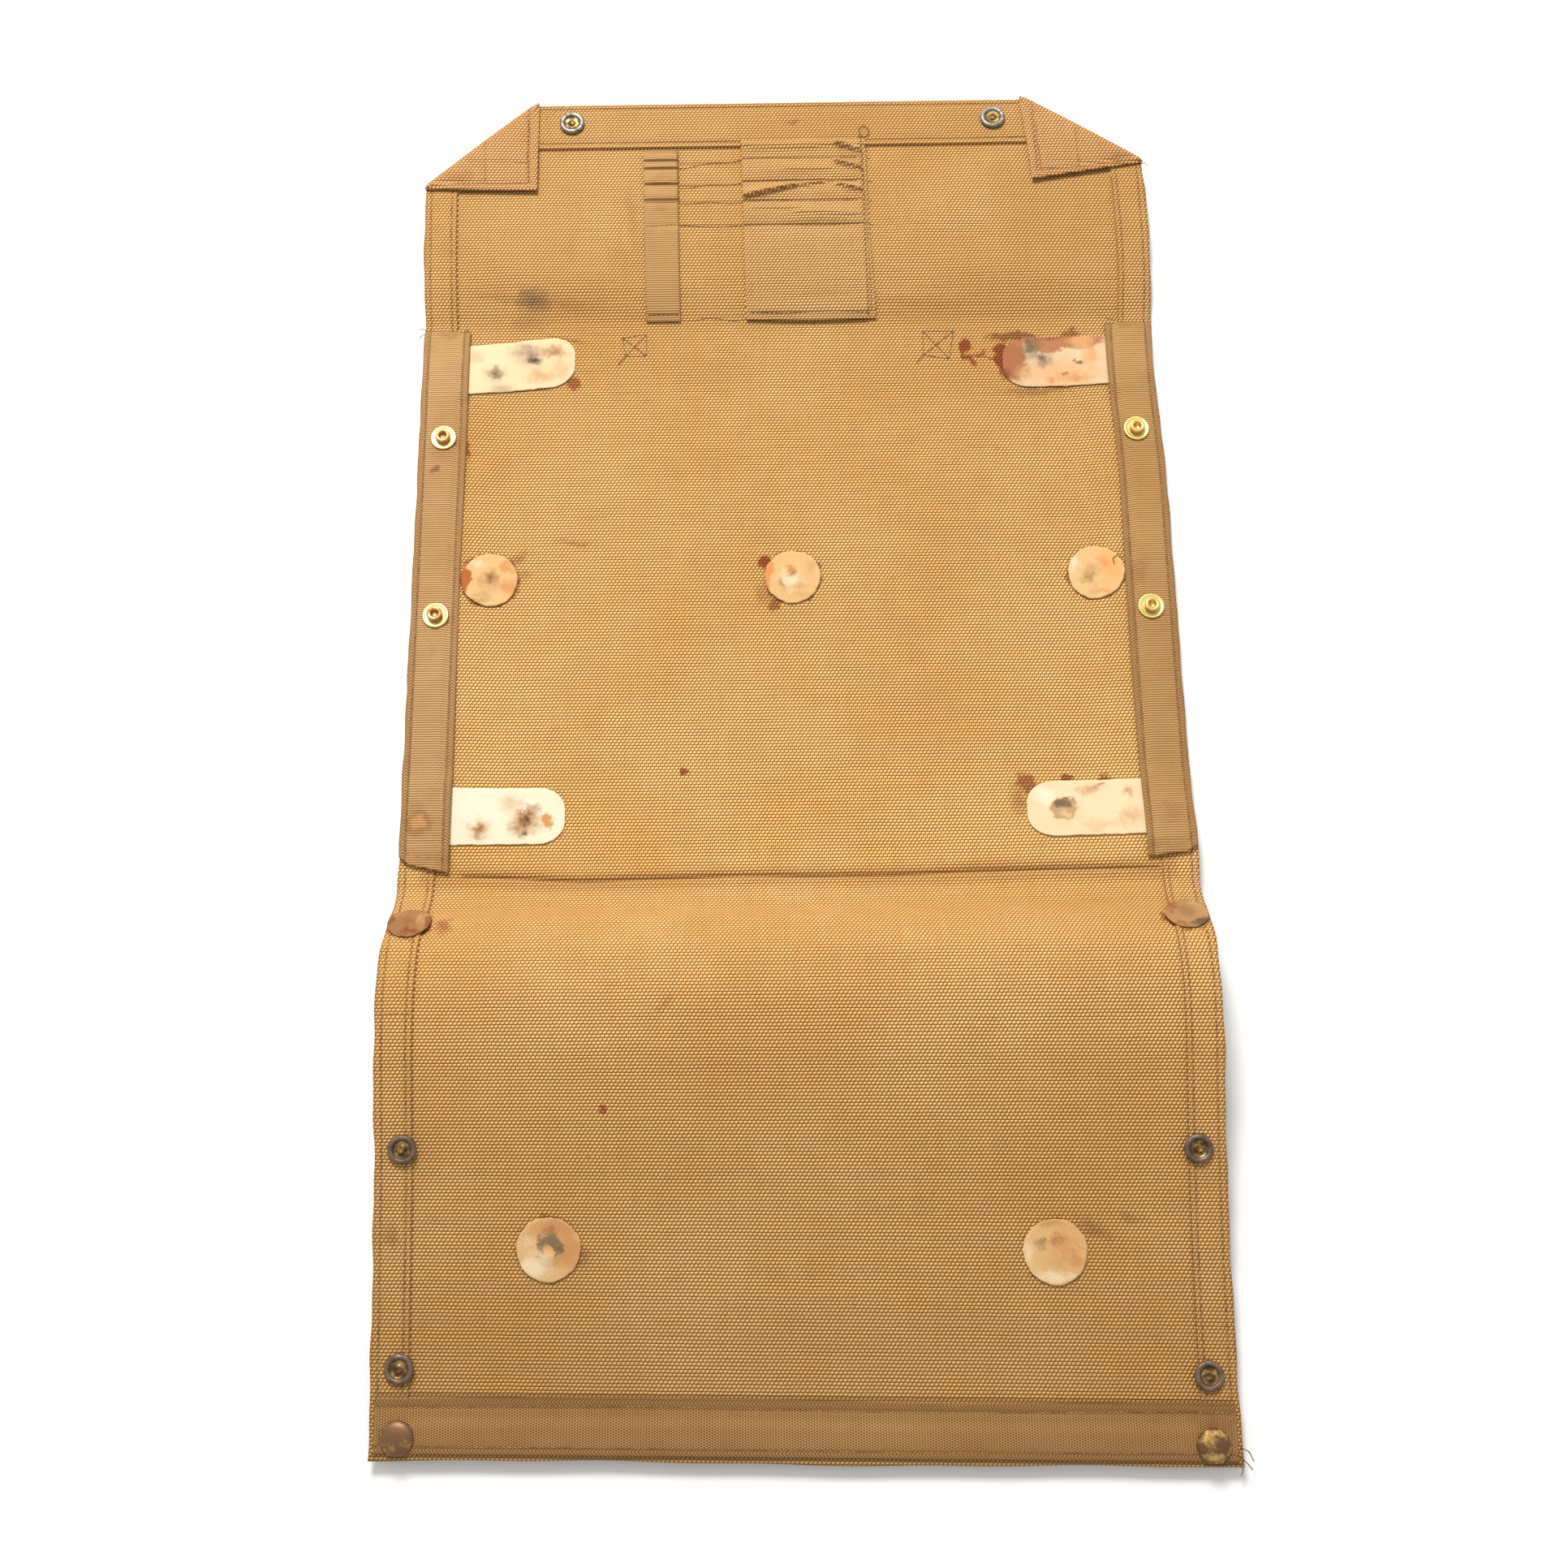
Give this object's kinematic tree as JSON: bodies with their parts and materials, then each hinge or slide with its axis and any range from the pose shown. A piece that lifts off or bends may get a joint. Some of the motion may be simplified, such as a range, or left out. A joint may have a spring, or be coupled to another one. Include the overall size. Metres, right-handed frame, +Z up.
{
  "type": "map case",
  "caption": "Canvas map case lying open with its inside up: a flap with folded corners, a back panel and a front panel, with taped edges, press studs, a tool pocket and glued tabs.",
  "frame": {"origin": "on the table under the middle of the open case's outline", "axes": "+Y from the front panel's edge towards the flap, +X to the right as seen from the front edge, +Z up"},
  "size_m": [0.3826, 0.6896, 0.0361],
  "materials": {
    "canvas": "coarse cotton duck, ochre tan, worn and stained",
    "webbing": "ribbed cotton tape with herringbone selvages, khaki",
    "pocket_cloth": "smooth cotton twill, greenish khaki, creased",
    "cotton": "fine cream cotton twill with brown glue stains",
    "bright_brass": "pale brass, worn bright",
    "dark_brass": "brass darkened to bronze, worn bright on the high spots"
  },
  "bodies": {
    "root": {"canvas_sheet": "canvas", "flap_socket_left": "dark_brass", "flap_socket_right": "dark_brass", "front_socket_left_lower": "dark_brass", "front_socket_left_upper": "dark_brass", "front_socket_right_lower": "dark_brass", "front_socket_right_upper": "dark_brass", "front_tape": "webbing", "patch_back_left": "cotton", "patch_back_middle": "cotton", "patch_back_right": "cotton", "patch_front_left": "cotton", "patch_front_right": "cotton", "patch_hem_left": "cotton", "patch_hem_right": "cotton", "pencil_tape": "webbing", "side_tape_left": "webbing", "side_tape_right": "webbing", "snap_cap_left": "dark_brass", "snap_cap_right": "dark_brass", "tab_left_lower": "cotton", "tab_left_upper": "cotton", "tab_right_lower": "cotton", "tab_right_upper": "cotton", "tape_stud_left_lower": "bright_brass", "tape_stud_left_upper": "bright_brass", "tape_stud_right_lower": "bright_brass", "tape_stud_right_upper": "bright_brass", "tool_pocket": "pocket_cloth"}
  },
  "joints": []
}
